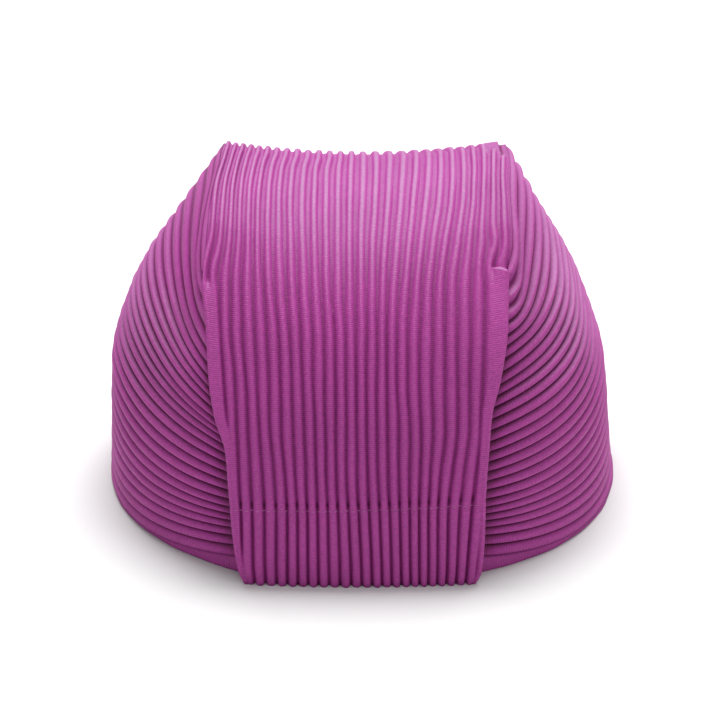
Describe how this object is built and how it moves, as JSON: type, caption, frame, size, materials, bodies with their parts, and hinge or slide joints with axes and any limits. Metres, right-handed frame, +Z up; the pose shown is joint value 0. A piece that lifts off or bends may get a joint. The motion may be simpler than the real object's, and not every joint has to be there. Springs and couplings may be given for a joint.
{
  "type": "pleated cap",
  "caption": "Soft close-fitting cap of fine pleated cloth, with a stitched centre panel from front to back and pleated sides tucked under its edges.",
  "frame": {"origin": "middle of the rim, at the surface the cap stands on", "axes": "+Z up, -Y towards the near end of the centre panel, +X to the right as the near end is seen"},
  "size_m": [0.1928, 0.191, 0.1275],
  "materials": {
    "pleated_cloth": "satin",
    "hem_cloth": "satin"
  },
  "bodies": {
    "root": {"centre_panel": "pleated_cloth", "left_side": "pleated_cloth", "right_side": "pleated_cloth", "left_hem_band": "hem_cloth", "right_hem_band": "hem_cloth", "near_hem_fold": "hem_cloth", "far_hem_fold": "hem_cloth"}
  },
  "joints": []
}
